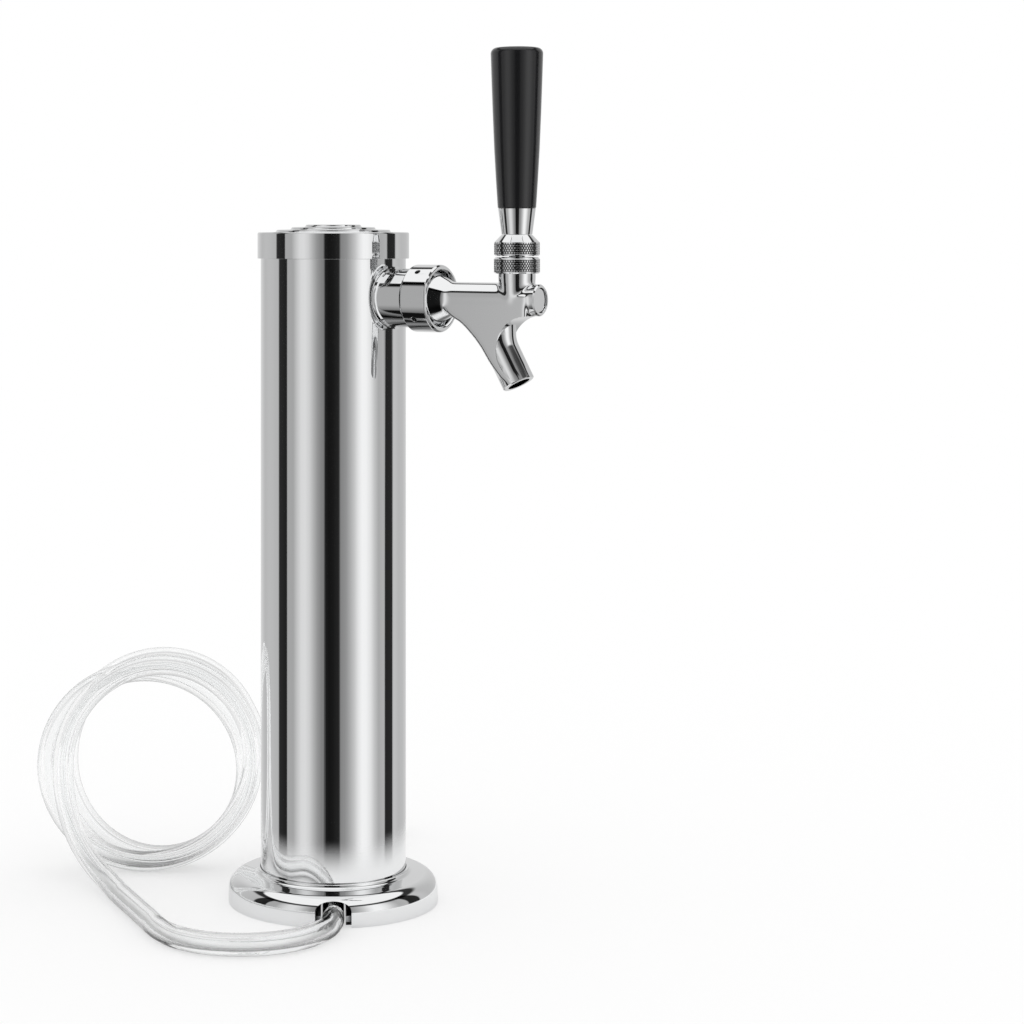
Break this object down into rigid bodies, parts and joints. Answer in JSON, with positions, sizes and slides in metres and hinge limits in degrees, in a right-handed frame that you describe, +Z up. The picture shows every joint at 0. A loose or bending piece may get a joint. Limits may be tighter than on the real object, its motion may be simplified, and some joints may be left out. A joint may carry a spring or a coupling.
{
  "type": "beer tower dispenser",
  "caption": "Upright round polished column on a round covered foot, with a lever operated tap near its top and a coiled clear beer line.",
  "frame": {"origin": "middle of the standing assembly without its free line, on the surface it stands on", "axes": "+Z up along the column, +X the way the tap points, +Y across"},
  "size_m": [0.2919, 0.2587, 0.4427],
  "materials": {
    "polished_stainless": "mirror polished stainless steel",
    "chrome_plate": "bright chrome plating",
    "plain_steel": "bare drawn steel",
    "insert_brass": "turned brass",
    "grip_black": "glossy moulded black",
    "plug_grey": "moulded grey",
    "nylon_white": "natural nylon",
    "seal_rubber": "black rubber",
    "foam_cream": "open foam",
    "clear_vinyl": "clear flexible vinyl"
  },
  "bodies": {
    "tower": {"tower_column": "polished_stainless", "base_flange": "plain_steel", "base_gasket": "seal_rubber", "foam_sleeve": "foam_cream", "inner_beer_line": "clear_vinyl", "shank_saddle": "chrome_plate", "shank_body": "chrome_plate", "shank_bracket": "plain_steel", "shank_lock_nut": "plain_steel", "coupling_nut": "chrome_plate", "tail_gasket": "seal_rubber", "elbow_barb": "chrome_plate", "tail_nut": "chrome_plate", "tail_clamp": "plain_steel", "faucet_gasket": "seal_rubber", "faucet_body": "chrome_plate", "lever_bonnet": "chrome_plate", "friction_washer": "nylon_white", "closing_spring": "plain_steel", "beer_line_run": "clear_vinyl", "beer_line_coil": "clear_vinyl", "beer_line_tail": "clear_vinyl", "keg_tailpiece": "chrome_plate", "keg_nut": "chrome_plate", "keg_clamp": "plain_steel"},
    "foot_cover": {"base_cover": "polished_stainless"},
    "cap": {"top_cap": "polished_stainless", "cap_grip": "plug_grey"},
    "valve": {"valve_shaft": "chrome_plate", "seat_washer": "seal_rubber", "valve_nut": "plain_steel"},
    "lever": {"lever_rod": "plain_steel", "lever_collar": "chrome_plate", "handle_ferrule": "chrome_plate", "handle_insert": "insert_brass", "handle_grip": "grip_black"}
  },
  "joints": [
    {"name": "lever_tilt", "type": "hinge", "parent": "tower", "child": "lever", "pos_m": [0.07605, 0, 0.33], "axis": [0, 1, 0], "range_deg": [0, 20], "stiffness_Nm_per_rad": 0.6, "springref_deg": -28.65},
    {"name": "valve_slide", "type": "slide", "parent": "tower", "child": "valve", "axis": [1, 0, 0], "range_m": [-0.0048, 0], "deforming": ["closing_spring"]},
    {"name": "cap_lift", "type": "slide", "parent": "tower", "child": "cap", "axis": [0, 0, 1], "range_m": [0, 0.06]},
    {"name": "cover_lift", "type": "slide", "parent": "tower", "child": "foot_cover", "axis": [0, 0, 1], "range_m": [0, 0.28]}
  ],
  "couplings": [
    {"joint": "valve_slide", "follows": "lever_tilt", "m_per_rad": -0.0135}
  ]
}
